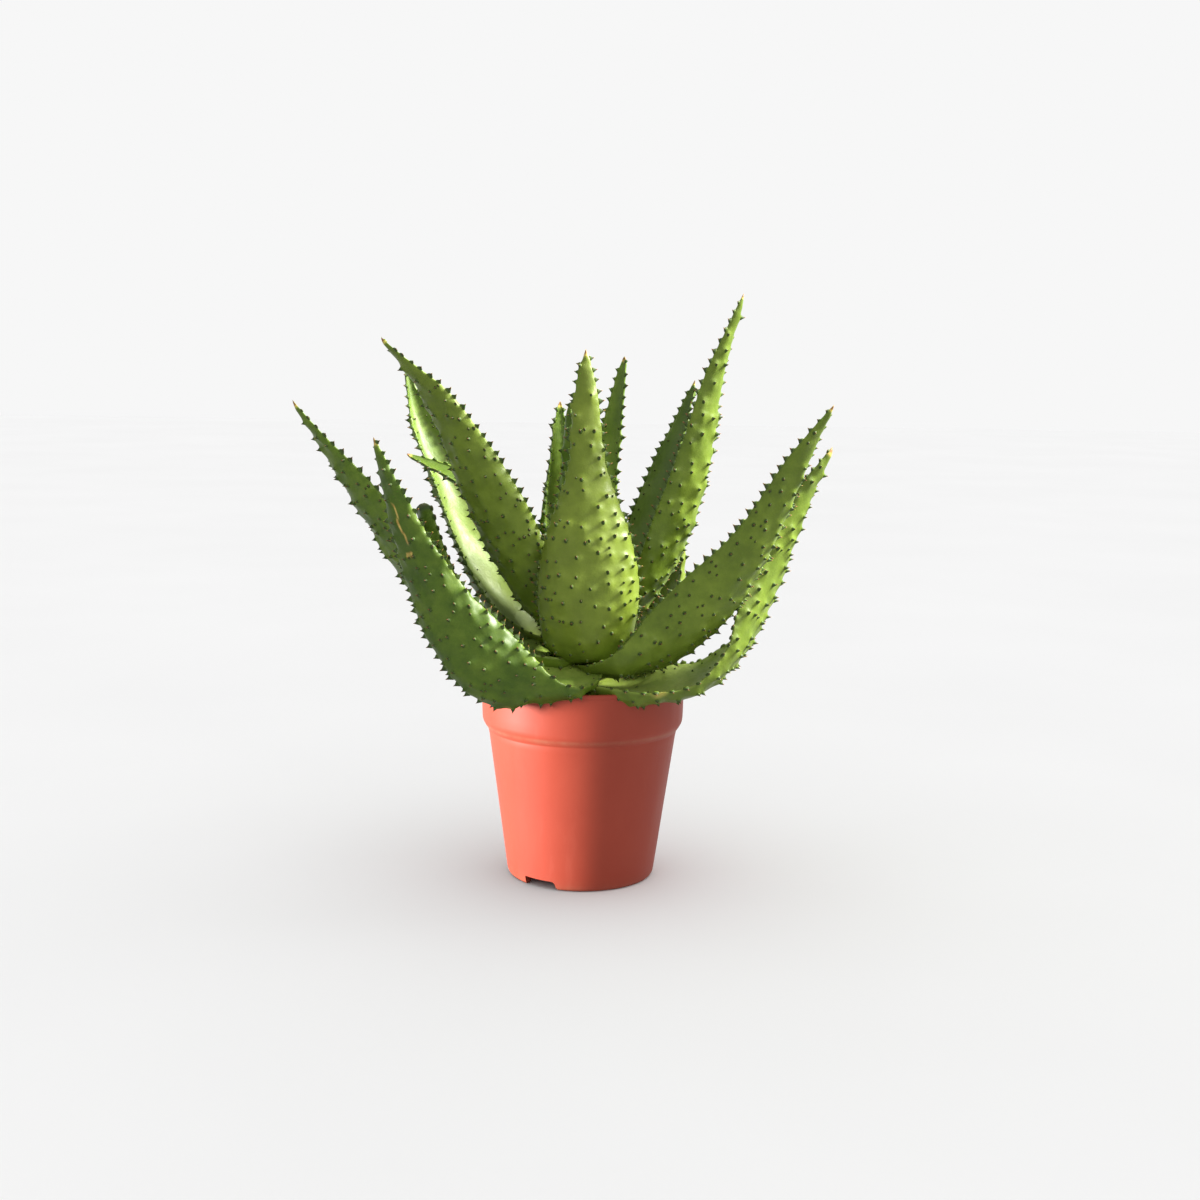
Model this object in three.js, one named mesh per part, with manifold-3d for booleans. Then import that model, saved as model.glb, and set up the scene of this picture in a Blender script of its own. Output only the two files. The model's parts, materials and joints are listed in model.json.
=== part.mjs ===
// Potted spiny aloe: a plastic nursery pot, its potting mix, a short stem and a rosette of leaves.
// Millimetres, +Z up. The pot stands on z = 0. Every size below is about the pot's axis, which is the
// rosette's axis too; at the end the whole plant is moved so that its box is centred on the origin.
import * as THREE from "three";
import { mergeVertices } from "three/addons/utils/BufferGeometryUtils.js";
import Module from "manifold-3d";

// Pot
const POT_HEIGHT = 120;
const RIM_RADIUS = 60.4;
const BAND_FOOT_RADIUS = 59.6;
const BAND_FOOT_UP = 94.5;
const SHOULDER_RADIUS = 56.3;
const SHOULDER_UP = 88.5;
const FOOT_RADIUS = 43.9;
const WALL = 1.8;
const FOOT_RING = 4.2;
const FLOOR_UP = 5.5;
const FLOOR_THICK = 2;
const LIP = 0.6;
const LIP_TALL = 2.2;
const NOTCH_TURNS = [237, 57];
const NOTCH_WIDE = 21;
const NOTCH_TALL = 5.2;
const NOTCH_FILLET = 2.5;
const HOLE_RADIUS = 4;
const HOLE_RING = 24;
const HOLES = 4;
const ROUND = 64;

// Potting mix and stem
const GAP = 0.5;
const SOIL_UP = 106;
const STEM_FOOT_UP = 84;
const STEM_RADIUS = 9;
const STEM_TOP_RADIUS = 4;
const STEM_TOP_UP = 172;

// Leaves
const RINGS = 15;
const ARCS = 6;
const THINNEST = 1.6;

// Each leaf: path is [out from the axis, turn about it in degrees, height, roll], from stem to tip.
// wide is half the greatest width, at belly (a share of the length); a taper under 1 makes a blunter tip.
// neck is the width at the stem over the greatest width.
// cup and fat are channel depth and thickness over the half width. waist is how far the blade is drawn in
// past its belly, and press the share of its depth that it keeps where it lies flat at the stem.
const LEAVES = {
  leaf_front: {
    path: [[11, 272, 146, 0], [26, 273, 149, 0], [34, 274, 166, 0], [35, 273, 196, 0], [31, 272, 232, 0],
      [27, 269, 270, 0], [23, 267, 312, 0]],
    wide: 28.5, neck: 0.78, belly: 0.24, taper: 0.85, cup: 0.2, fat: 0.34, waist: 0.23,
  },
  leaf_front_left: {
    path: [[11, 262, 126, 0], [32, 262, 127.2, 0], [54, 261, 132.8, 2], [70, 252, 130.6, 29],
      [80, 240, 133, 46], [88.5, 230, 143.5, 46], [97.5, 221, 163, 42], [108, 215, 191, 35],
      [121, 212, 225, 30], [133, 209, 263, 15]],
    wide: 20, neck: 0.8, belly: 0.4, taper: 0.78, cup: 0.2, fat: 0.28, press: 0.5,
  },
  leaf_low_left: {
    path: [[11, 200, 113, 0], [34, 198, 115, 0], [55, 195, 129.5, 0], [73, 193, 149.5, 15],
      [92, 191, 178, 30], [114, 189, 209, 40], [139, 188, 242, 36], [169, 188, 281, 5]],
    wide: 17.7, neck: 0.47, belly: 0.46, taper: 0.7, cup: 0.2, fat: 0.32,
  },
  leaf_cut_left: {
    path: [[11, 226, 137.2, 0], [28, 222, 137.6, 0], [50, 206, 142, 0], [72, 194, 161, 5],
      [89, 187, 191, 10], [99, 184, 221, 10]],
    wide: 15, neck: 1, belly: 0.4, taper: 0.3, cup: 0.25, fat: 0.3,
  },
  leaf_upper_left: {
    path: [[11, 203, 154, 0], [24, 204, 162, 20], [44, 203, 194, 35], [61, 202, 226, 40],
      [76, 201, 255, 38], [94, 200, 286, 28], [122, 200, 317, -10]],
    wide: 23, neck: 0.6, belly: 0.32, taper: 0.64, cup: 0.22, fat: 0.34,
  },
  leaf_back_left: {
    path: [[11, 155, 142, 0], [26, 158, 149, -5], [45, 160, 168, -18], [65, 160, 201, -28],
      [83.5, 160, 234, -28], [101, 160, 267, -24], [117, 160, 299, -15]],
    wide: 21, neck: 0.6, belly: 0.35, taper: 0.8, cup: 0.3, fat: 0.3,
  },
  leaf_narrow_left: {
    path: [[11, 180, 163, 0], [30, 180, 190, -10], [50, 180, 219, -25], [75, 180, 238, -30],
      [105, 180, 250, -20]],
    wide: 10.5, neck: 0.6, belly: 0.4, taper: 0.55, cup: 0.3, fat: 0.4,
  },
  leaf_tall_right: {
    path: [[11, 333, 153, 0], [25, 335, 161, -15], [40, 335, 186, -30], [51, 336, 218, -35],
      [62, 338, 256, -35], [72.5, 340, 298, -30], [91, 342, 344, -10]],
    wide: 17.5, neck: 0.6, belly: 0.32, taper: 0.66, cup: 0.22, fat: 0.34,
  },
  leaf_shade_right: {
    path: [[11, 46, 156, 0], [26, 44, 169, 0], [43, 42, 197, 0], [54, 42, 221, 0], [64, 42, 245, 0],
      [77, 42, 269, 0], [89, 42, 294, 0]],
    wide: 15, neck: 0.6, belly: 0.3, taper: 0.75, cup: 0.3, fat: 0.32,
  },
  leaf_front_right: {
    path: [[11, 303, 131, 0], [30, 302, 134.6, 0], [46, 307, 139, -12], [65, 316, 152, -30],
      [89, 322, 179, -35], [111, 325, 207, -35], [140.5, 325, 258, -25], [159, 325, 285, -10]],
    wide: 20, neck: 0.75, belly: 0.34, taper: 0.76, cup: 0.2, fat: 0.32, waist: 0.1,
  },
  leaf_low_right: {
    path: [[11, 300, 113, 0], [32, 301, 116, 0], [51, 307, 128.8, 4], [67, 320, 131, 8],
      [81, 332, 143.5, 4], [97.5, 342, 165.3, -18], [113, 347, 203, -32], [126, 349, 231, -35],
      [142, 350, 259, -20]],
    wide: 19.5, neck: 0.75, belly: 0.4, taper: 0.68, cup: 0.2, fat: 0.3,
  },
  leaf_inner_right: {
    path: [[11, 25, 138, 0], [24, 25, 142, 0], [43, 23, 152, 0], [54, 21, 170, 0], [58, 19, 196, 0],
      [62, 17, 226, 0]],
    wide: 16, neck: 0.7, belly: 0.35, taper: 0.8, cup: 0.25, fat: 0.32,
  },
  leaf_rear_left: {
    path: [[11, 125, 126, 0], [26, 128, 130, 0], [44, 130, 145, 0], [62, 130, 170, 0], [80, 131, 201, 0],
      [104, 131, 240, 0]],
    wide: 16, neck: 0.6, belly: 0.35, taper: 0.8, cup: 0.22, fat: 0.32,
  },
  leaf_back: {
    path: [[11, 95, 134, 0], [26, 93, 140, 0], [45, 92, 158, 0], [62, 91, 184, 0], [78, 91, 216, 0],
      [92, 91, 250, 0], [98, 91, 262, 0]],
    wide: 17, neck: 0.6, belly: 0.35, taper: 1, cup: 0.22, fat: 0.32,
  },
  leaf_low_back: {
    path: [[11, 66, 114, 0], [34, 70, 116, 0], [56, 74, 131, 0], [80, 74, 147, 0], [104, 77, 170, 0],
      [126, 80, 200, 0]],
    wide: 18, neck: 0.5, belly: 0.35, taper: 1, cup: 0.2, fat: 0.32,
  },
  leaf_low_back_left: {
    path: [[11, 131, 113, 0], [34, 140, 115, 0], [56, 155, 129, 0], [76, 163, 136, 0], [93, 167, 148, 0],
      [104, 170, 164, 0]],
    wide: 13, neck: 0.5, belly: 0.35, taper: 0.85, cup: 0.2, fat: 0.3,
  },
  leaf_young_left: {
    path: [[8, 130, 168, 0], [18, 137, 190, 0], [23, 138, 216, 0], [24.5, 131, 250, 0],
      [28, 125, 281, 0]],
    wide: 11, neck: 0.6, belly: 0.3, taper: 0.62, cup: 0.3, fat: 0.35,
  },
  leaf_young_mid: {
    path: [[6, 215, 178, 0], [9, 215, 200, 0], [12, 218, 226, 0], [13, 220, 252, 0], [13, 222, 281, 0]],
    wide: 7, neck: 0.5, belly: 0.35, taper: 0.5, cup: 0.3, fat: 0.35,
  },
  leaf_young_right: {
    path: [[8, 55, 170, 0], [14, 62, 196, 0], [18, 60, 230, 0], [23, 50, 268, 0], [29.5, 43, 308, 0]],
    wide: 10, neck: 0.5, belly: 0.35, taper: 0.55, cup: 0.3, fat: 0.35,
  },
};

const wasm = await Module();
wasm.setup();

const paint = (color, roughness) => new THREE.MeshStandardMaterial({ color, roughness });
const rad = THREE.MathUtils.degToRad;

// A mesh or geometry as a manifold-3d solid, and back.
function solidOf(geometry) {
  const bare = new THREE.BufferGeometry();
  bare.setAttribute("position", geometry.getAttribute("position"));
  bare.setIndex(geometry.index);
  const welded = mergeVertices(bare, 1e-4);
  return new wasm.Manifold(new wasm.Mesh({
    numProp: 3,
    vertProperties: new Float32Array(welded.getAttribute("position").array),
    triVerts: new Uint32Array(welded.index.array),
  }));
}

function geometryOf(solid) {
  const mesh = solid.getMesh();
  const geometry = new THREE.BufferGeometry();
  geometry.setAttribute("position", new THREE.BufferAttribute(new Float32Array(mesh.vertProperties), 3));
  geometry.setIndex(new THREE.BufferAttribute(new Uint32Array(mesh.triVerts), 1));
  geometry.computeVertexNormals();
  return geometry;
}

// A closed solid of revolution about +Z from [radius, height] points that start and end on the axis.
function turned(points, segments) {
  const lathe = new THREE.LatheGeometry(points.map(([r, z]) => new THREE.Vector2(r, z)), segments);
  lathe.rotateX(Math.PI / 2);
  lathe.deleteAttribute("normal");
  lathe.deleteAttribute("uv");
  const welded = mergeVertices(lathe, 1e-4);
  const index = Array.from(welded.index.array);
  const whole = [];
  for (let i = 0; i < index.length; i += 3) {
    const [a, b, c] = index.slice(i, i + 3);
    if (a !== b && b !== c && a !== c) {
      whole.push(a, b, c);
    }
  }
  welded.setIndex(whole);
  welded.computeVertexNormals();
  return welded;
}

function potGeometry() {
  const inner = RIM_RADIUS - WALL - LIP;
  const body = solidOf(turned([
    [0, FLOOR_UP],
    [FOOT_RADIUS - FOOT_RING - 1.2, FLOOR_UP],
    [FOOT_RADIUS - FOOT_RING - 0.6, 0],
    [FOOT_RADIUS - 2.2, 0],
    [FOOT_RADIUS - 0.9, 0.4],
    [FOOT_RADIUS - 0.1, 1.4],
    [FOOT_RADIUS + 0.3, 3.2],
    [SHOULDER_RADIUS, SHOULDER_UP],
    [BAND_FOOT_RADIUS - 0.5, BAND_FOOT_UP - 0.6],
    [BAND_FOOT_RADIUS, BAND_FOOT_UP + 0.3],
    [RIM_RADIUS - LIP, POT_HEIGHT - LIP_TALL - 0.4],
    [RIM_RADIUS, POT_HEIGHT - LIP_TALL],
    [RIM_RADIUS, POT_HEIGHT - 0.7],
    [RIM_RADIUS - 0.6, POT_HEIGHT],
    [inner + 0.5, POT_HEIGHT],
    [inner, POT_HEIGHT - 0.6],
    [BAND_FOOT_RADIUS - WALL, BAND_FOOT_UP + 1],
    [SHOULDER_RADIUS - WALL, SHOULDER_UP + 1],
    [FOOT_RADIUS - 0.6, FLOOR_UP + FLOOR_THICK + 2],
    [FOOT_RADIUS - 2.6, FLOOR_UP + FLOOR_THICK],
    [0, FLOOR_UP + FLOOR_THICK],
  ], ROUND));
  let pot = body;
  for (const turn of NOTCH_TURNS) {
    const shape = new THREE.Shape();
    shape.moveTo(-NOTCH_WIDE / 2, -1);
    shape.lineTo(NOTCH_WIDE / 2, -1);
    shape.lineTo(NOTCH_WIDE / 2, NOTCH_TALL - NOTCH_FILLET);
    shape.quadraticCurveTo(NOTCH_WIDE / 2, NOTCH_TALL, NOTCH_WIDE / 2 - NOTCH_FILLET, NOTCH_TALL);
    shape.lineTo(-NOTCH_WIDE / 2, NOTCH_TALL);
    const notch = new THREE.ExtrudeGeometry(shape, { depth: 14, bevelEnabled: false, curveSegments: 5 });
    notch.rotateX(Math.PI / 2);
    notch.rotateZ(rad(turn + 90));
    notch.translate((FOOT_RADIUS - 9) * Math.cos(rad(turn)), (FOOT_RADIUS - 9) * Math.sin(rad(turn)), 0);
    pot = pot.subtract(solidOf(notch));
  }
  for (let i = 0; i < HOLES; i += 1) {
    const turn = rad(45 + (i * 360) / HOLES);
    const hole = new THREE.CylinderGeometry(HOLE_RADIUS, HOLE_RADIUS, 8, 24);
    hole.rotateX(Math.PI / 2);
    hole.translate(HOLE_RING * Math.cos(turn), HOLE_RING * Math.sin(turn), FLOOR_UP + 1);
    pot = pot.subtract(solidOf(hole));
  }
  return geometryOf(pot);
}

function soilGeometry() {
  const wallAt = (z) => THREE.MathUtils.mapLinear(
    z, FLOOR_UP + FLOOR_THICK + 2, SHOULDER_UP + 1, FOOT_RADIUS - 0.6, SHOULDER_RADIUS - WALL,
  );
  const socket = STEM_RADIUS + GAP;
  const top = BAND_FOOT_RADIUS - WALL - GAP;
  return turned([
    [0, FLOOR_UP + FLOOR_THICK + GAP],
    [FOOT_RADIUS - 4, FLOOR_UP + FLOOR_THICK + GAP],
    [wallAt(11) - GAP - 0.4, 11],
    [wallAt(SHOULDER_UP) - GAP - 0.2, SHOULDER_UP],
    [top - 0.6, BAND_FOOT_UP + 3],
    [top - 0.6, SOIL_UP - 1.5],
    [top - 3, SOIL_UP - 0.5],
    [38, SOIL_UP],
    [20, SOIL_UP + 0.6],
    [socket, SOIL_UP + 0.6],
    [socket, STEM_FOOT_UP - GAP],
    [0, STEM_FOOT_UP - GAP],
  ], 48);
}

function stemGeometry() {
  return turned([
    [0, STEM_FOOT_UP],
    [STEM_RADIUS - 1.5, STEM_FOOT_UP],
    [STEM_RADIUS, STEM_FOOT_UP + 3],
    [STEM_RADIUS, 130],
    [STEM_RADIUS - 1, 148],
    [STEM_TOP_RADIUS, 163],
    [STEM_TOP_RADIUS - 1, STEM_TOP_UP - 2],
    [0, STEM_TOP_UP],
  ], 32);
}

// Half width of a leaf at share t of its length, over its greatest half width.
function widthAt(leaf, t) {
  if (t < leaf.belly) {
    const s = t / leaf.belly;
    return leaf.neck + (1 - leaf.neck) * Math.sin((s * Math.PI) / 2);
  }
  const s = (t - leaf.belly) / (1 - leaf.belly);
  const drawn = 1 - (leaf.waist ?? 0) * Math.exp(-(((t - 0.67) / 0.16) ** 2));
  return drawn * (1 - s) ** leaf.taper * (1 + leaf.taper * s * (1 - s) ** 4);
}

// A leaf is a closed skin of rings along its path: a rounded underside and a channelled upper face.
function leafGeometry(leaf) {
  const at = ([out, turn, up]) => new THREE.Vector3(out * Math.cos(rad(turn)), out * Math.sin(rad(turn)), up);
  const path = new THREE.CatmullRomCurve3(leaf.path.map(at), false, "centripetal");
  const points = [];
  for (let i = 0; i < RINGS; i += 1) {
    const t = (i / (RINGS - 1)) * 0.975;
    const middle = path.getPointAt(t);
    const along = path.getTangentAt(t);
    const side = new THREE.Vector3(-middle.y, middle.x, 0).normalize();
    side.addScaledVector(along, -side.dot(along)).normalize();
    const inward = new THREE.Vector3().crossVectors(along, side);
    const knot = path.getUtoTmapping(t) * (leaf.path.length - 1);
    const low = Math.min(Math.floor(knot), leaf.path.length - 2);
    const roll = rad(THREE.MathUtils.lerp(leaf.path[low][3], leaf.path[low + 1][3], knot - low));
    side.applyAxisAngle(along, roll);
    inward.applyAxisAngle(along, roll);
    const half = leaf.wide * widthAt(leaf, t);
    const clasp = THREE.MathUtils.lerp(0.6, 1, THREE.MathUtils.smoothstep(t, 0, 0.3));
    const flat = THREE.MathUtils.lerp(leaf.press ?? 1, 1, THREE.MathUtils.smoothstep(t, 0.16, 0.36));
    const thick = Math.max(leaf.fat * half * clasp * flat, Math.min(THINNEST, half * 0.8));
    const cup = leaf.cup * half * flat;
    for (let j = 0; j < 2 * ARCS; j += 1) {
      const turn = (j * Math.PI) / ARCS;
      const below = j <= ARCS;
      const depth = below ? cup + thick : cup;
      points.push(middle.clone()
        .addScaledVector(side, half * Math.cos(turn))
        .addScaledVector(inward, -depth * Math.abs(Math.sin(turn))));
    }
  }
  const around = 2 * ARCS;
  const index = [];
  for (let i = 0; i < RINGS - 1; i += 1) {
    for (let j = 0; j < around; j += 1) {
      const k = (j + 1) % around;
      const a = i * around + j;
      const b = i * around + k;
      const c = (i + 1) * around + k;
      const d = (i + 1) * around + j;
      index.push(a, d, c, a, c, b);
    }
  }
  const root = points.length;
  const centre = new THREE.Vector3();
  for (let j = 0; j < around; j += 1) {
    centre.addScaledVector(points[j], 1 / around);
  }
  points.push(centre);
  const tip = points.length;
  points.push(path.getPointAt(1));
  for (let j = 0; j < around; j += 1) {
    const k = (j + 1) % around;
    const last = (RINGS - 1) * around;
    index.push(root, j, k, tip, last + k, last + j);
  }
  const geometry = new THREE.BufferGeometry().setFromPoints(points);
  geometry.setIndex(index);
  geometry.computeVertexNormals();
  return geometry;
}

const plant = new THREE.Group();
plant.name = "potted_aloe";

function add(name, geometry, material) {
  const mesh = new THREE.Mesh(geometry, material);
  mesh.name = name;
  plant.add(mesh);
}

add("pot", potGeometry(), paint(0xc9604c, 0.55));
add("potting_mix", soilGeometry(), paint(0x4a2f24, 0.95));
add("stem", stemGeometry(), paint(0x8a8a4e, 0.8));
for (const [name, leaf] of Object.entries(LEAVES)) {
  add(name, leafGeometry(leaf), paint(0x5d8433, 0.5));
}

const box = new THREE.Box3().setFromObject(plant);
plant.position.set(-(box.min.x + box.max.x) / 2, -(box.min.y + box.max.y) / 2, -box.min.z);

export default plant;
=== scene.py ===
# Looks of the potted spiny aloe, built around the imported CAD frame.
# Lengths in the tables are millimetres about the pot's axis; everything is made in metres in the row frame.
import json
import math
import random

import bpy
import bmesh
import numpy as np
from mathutils import Matrix, Vector

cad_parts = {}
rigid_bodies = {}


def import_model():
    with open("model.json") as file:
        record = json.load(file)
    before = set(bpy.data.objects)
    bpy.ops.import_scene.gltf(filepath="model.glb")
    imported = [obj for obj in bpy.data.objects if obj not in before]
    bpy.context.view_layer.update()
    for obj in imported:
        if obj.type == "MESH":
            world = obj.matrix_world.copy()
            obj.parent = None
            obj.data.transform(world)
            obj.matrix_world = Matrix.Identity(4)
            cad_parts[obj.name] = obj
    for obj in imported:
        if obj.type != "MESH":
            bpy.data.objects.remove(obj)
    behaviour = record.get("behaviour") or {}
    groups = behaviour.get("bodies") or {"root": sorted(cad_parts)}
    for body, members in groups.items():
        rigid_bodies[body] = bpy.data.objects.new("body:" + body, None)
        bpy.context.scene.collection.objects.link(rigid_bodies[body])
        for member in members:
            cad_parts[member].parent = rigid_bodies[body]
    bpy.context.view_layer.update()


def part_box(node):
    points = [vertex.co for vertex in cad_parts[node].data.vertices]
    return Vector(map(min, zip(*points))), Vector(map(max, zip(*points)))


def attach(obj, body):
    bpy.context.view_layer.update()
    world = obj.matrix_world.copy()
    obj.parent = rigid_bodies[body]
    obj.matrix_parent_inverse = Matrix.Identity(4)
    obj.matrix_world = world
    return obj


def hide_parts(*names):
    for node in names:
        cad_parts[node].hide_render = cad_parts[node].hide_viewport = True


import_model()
scene = bpy.context.scene

MM = 0.001
pot_low, pot_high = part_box("pot")
AXIS = np.array([(pot_low.x + pot_high.x) / 2, (pot_low.y + pot_high.y) / 2, 0.0])

# ---------------------------------------------------------------- camera

LENS = 50.19
CAMERA_SHIFT = 0.0131
CAMERA_PLACE = Vector((0, -0.979, 0.313))  # from the foot of the pot's axis
CAMERA_DIP = 0.150
CAMERA_ROLL = 0.015

camera = bpy.data.objects.new("camera", bpy.data.cameras.new("camera"))
scene.collection.objects.link(camera)
camera.data.sensor_width = 36
camera.data.lens = LENS
camera.data.shift_x = CAMERA_SHIFT
camera.data.clip_start = 0.02
camera.data.clip_end = 30
camera.matrix_world = (
    Matrix.Translation(Vector(AXIS) + CAMERA_PLACE)
    @ Matrix.Rotation(math.pi / 2 - CAMERA_DIP, 4, "X")
    @ Matrix.Rotation(CAMERA_ROLL, 4, "Z")
)
scene.camera = camera

# ---------------------------------------------------------------- node helpers


class Paint:
    """A small hand for writing node materials."""

    def __init__(self, name):
        self.material = bpy.data.materials.new(name)
        self.material.use_nodes = True
        self.tree = self.material.node_tree
        self.shader = self.tree.nodes["Principled BSDF"]

    def node(self, kind, **settings):
        made = self.tree.nodes.new(kind)
        for key, value in settings.items():
            setattr(made, key, value)
        return made

    def link(self, source, target):
        self.tree.links.new(source, target)

    def attribute(self, name):
        return self.node("ShaderNodeAttribute", attribute_name=name).outputs["Fac"]

    def place(self, scale=(1, 1, 1)):
        coordinates = self.node("ShaderNodeTexCoord").outputs["Object"]
        mapping = self.node("ShaderNodeMapping")
        mapping.inputs["Scale"].default_value = scale
        self.link(coordinates, mapping.inputs["Vector"])
        return mapping.outputs["Vector"]

    def noise(self, scale, detail=3.0, rough=0.55, vector=None):
        made = self.node("ShaderNodeTexNoise")
        made.inputs["Scale"].default_value = scale
        made.inputs["Detail"].default_value = detail
        made.inputs["Roughness"].default_value = rough
        self.link(vector if vector is not None else self.place(), made.inputs["Vector"])
        return made.outputs["Fac"]

    def ramp(self, value, stops):
        """stops: (position, colour), in rising order."""
        made = self.node("ShaderNodeValToRGB")
        elements = made.color_ramp.elements
        while len(elements) < len(stops):
            elements.new(0.5)
        for element, (at, colour) in zip(elements, stops):
            element.position = at
            element.color = (*colour, 1)
        self.link(value, made.inputs["Fac"])
        return made.outputs["Color"]

    def span(self, value, low, high, out_low=0.0, out_high=1.0):
        """The value's run from low to high, stretched to run from out_low to out_high and held there."""
        made = self.node("ShaderNodeMapRange", clamp=True)
        self.link(value, made.inputs["Value"])
        made.inputs["From Min"].default_value = low
        made.inputs["From Max"].default_value = high
        made.inputs["To Min"].default_value = out_low
        made.inputs["To Max"].default_value = out_high
        return made.outputs["Result"]

    def math(self, kind, a, b):
        made = self.node("ShaderNodeMath", operation=kind)
        self.link(a, made.inputs[0])
        self.link(b, made.inputs[1])
        return made.outputs["Value"]

    def mix(self, share, a, b):
        """a, turned into b by the share; b is a colour or another socket."""
        made = self.node("ShaderNodeMix", data_type="RGBA")
        share_in, a_in, b_in = made.inputs[0], made.inputs[6], made.inputs[7]
        self.link(share, share_in)
        self.link(a, a_in)
        if isinstance(b, tuple):
            b_in.default_value = (*b, 1)
        else:
            self.link(b, b_in)
        return made.outputs[2]

    def bump(self, heights):
        """heights: (value, strength, distance in metres), each laid over the one before."""
        last = None
        for value, strength, distance in heights:
            made = self.node("ShaderNodeBump")
            made.inputs["Strength"].default_value = strength
            made.inputs["Distance"].default_value = distance
            self.link(value, made.inputs["Height"])
            if last is not None:
                self.link(last, made.inputs["Normal"])
            last = made.outputs["Normal"]
        self.link(last, self.shader.inputs["Normal"])

    def colour(self, value):
        self.link(value, self.shader.inputs["Base Color"])

    def rough(self, value):
        self.link(value, self.shader.inputs["Roughness"])

    def set(self, **values):
        """Plain numbers on the shader's own sockets, with _ for a space in their names."""
        for name, value in values.items():
            self.shader.inputs[name.replace("_", " ")].default_value = value


# ---------------------------------------------------------------- materials


def leaf_material():
    p = Paint("aloe_leaf")
    thorn = p.attribute("thorn")
    dry = p.attribute("dry")
    inner = p.attribute("inner")
    rim = p.attribute("rim")
    scar = p.attribute("scar")
    shade = p.attribute("tone")
    cloud = p.noise(55, 4, 0.6)
    mottle = p.noise(260, 5, 0.65)
    grain = p.noise(1500, 3, 0.6)
    skin = p.ramp(cloud, [
        (0.36, (0.040, 0.079, 0.005)),
        (0.52, (0.061, 0.108, 0.007)),
        (0.68, (0.092, 0.146, 0.013)),
    ])
    pale = p.ramp(cloud, [
        (0.30, (0.150, 0.225, 0.042)),
        (0.55, (0.215, 0.290, 0.066)),
        (0.78, (0.280, 0.355, 0.095)),
    ])
    body = p.mix(inner, skin, pale)
    # Light and dark mottling, and a fine light grain.
    body = p.mix(p.span(mottle, 0.50, 0.72, 0.0, 0.30), body, (0.105, 0.155, 0.022))
    body = p.mix(p.span(mottle, 0.47, 0.28, 0.0, 0.35), body, (0.036, 0.068, 0.006))
    body = p.mix(p.span(grain, 0.55, 0.75, 0.0, 0.14), body, (0.20, 0.26, 0.07))
    # The tone, with painted light and shade: above 0 it makes the skin lighter and yellower, for the paler
    # root, which is the leaf's own colour, and as painted light on leaves that the key lamp lights; below 0
    # it paints shade in deep green on leaves that lie in shadow. Then the paler margin.
    body = p.mix(p.span(shade, 0, 1, 0, 0.60), body, (0.180, 0.212, 0.028))
    body = p.mix(p.span(shade, -1, 0, 0.75, 0.0), body, (0.028, 0.056, 0.004))
    body = p.mix(p.span(rim, 0.35, 1, 0, 0.45), body, (0.165, 0.215, 0.042))
    tan = p.ramp(mottle, [
        (0.35, (0.28, 0.15, 0.035)),
        (0.6, (0.50, 0.36, 0.10)),
    ])
    body = p.mix(scar, body, tan)
    withered = p.ramp(dry, [
        (0.0, (0.26, 0.28, 0.06)),
        (0.5, (0.42, 0.32, 0.08)),
        (0.85, (0.20, 0.10, 0.035)),
    ])
    body = p.mix(p.span(dry, 0.02, 0.45), body, withered)
    horn = p.ramp(thorn, [
        (0.0, (0.060, 0.100, 0.018)),
        (0.25, (0.028, 0.052, 0.012)),
        (0.60, (0.052, 0.040, 0.013)),
        (0.85, (0.190, 0.060, 0.024)),
    ])
    body = p.mix(p.span(thorn, 0.02, 0.14), body, horn)
    p.colour(body)
    p.rough(p.math("ADD", p.span(mottle, 0.3, 0.7, 0.36, 0.52), p.span(thorn, 0.02, 0.3, 0.0, 0.25)))
    p.set(Specular_IOR_Level=0.20, Subsurface_Weight=0.08, Subsurface_Scale=0.003)
    p.set(Subsurface_Radius=(0.6, 1.0, 0.25))
    p.bump([(mottle, 0.35, 0.0006), (grain, 0.25, 0.00015)])
    return p.material


def pot_material():
    p = Paint("pot_plastic_satin")
    cloud = p.noise(22, 3, 0.5)
    scuff = p.noise(60, 6, 0.7, p.place((1, 1, 0.18)))
    grain = p.noise(2600, 2, 0.5)
    base = p.ramp(cloud, [
        (0.3, (0.262, 0.036, 0.018)),
        (0.7, (0.290, 0.043, 0.022)),
    ])
    base = p.mix(p.span(scuff, 0.58, 0.78, 0.0, 0.22), base, (0.40, 0.095, 0.062))
    dusty = p.attribute("dust")
    base = p.mix(p.math("MULTIPLY", dusty, p.span(scuff, 0.4, 0.65, 0.15, 0.6)), base, (0.30, 0.13, 0.075))
    p.colour(base)
    p.rough(p.span(scuff, 0.3, 0.75, 0.44, 0.60))
    p.set(Specular_IOR_Level=0.25)
    p.bump([(scuff, 0.12, 0.0003), (grain, 0.18, 0.00006)])
    return p.material


def soil_material():
    p = Paint("potting_mix")
    tone = p.attribute("tone")
    cloud = p.noise(400, 5, 0.7)
    fine = p.noise(2600, 3, 0.6)
    base = p.ramp(tone, [
        (0.0, (0.020, 0.010, 0.006)),
        (0.35, (0.060, 0.028, 0.014)),
        (0.6, (0.135, 0.055, 0.030)),
        (0.85, (0.230, 0.105, 0.062)),
        (1.0, (0.330, 0.190, 0.120)),
    ])
    base = p.mix(p.span(cloud, 0.45, 0.7, 0.0, 0.55), base, (0.025, 0.012, 0.007))
    p.colour(base)
    p.rough(p.span(fine, 0.3, 0.7, 0.80, 0.96))
    p.bump([(cloud, 0.7, 0.0006), (fine, 0.5, 0.0002)])
    return p.material


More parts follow.
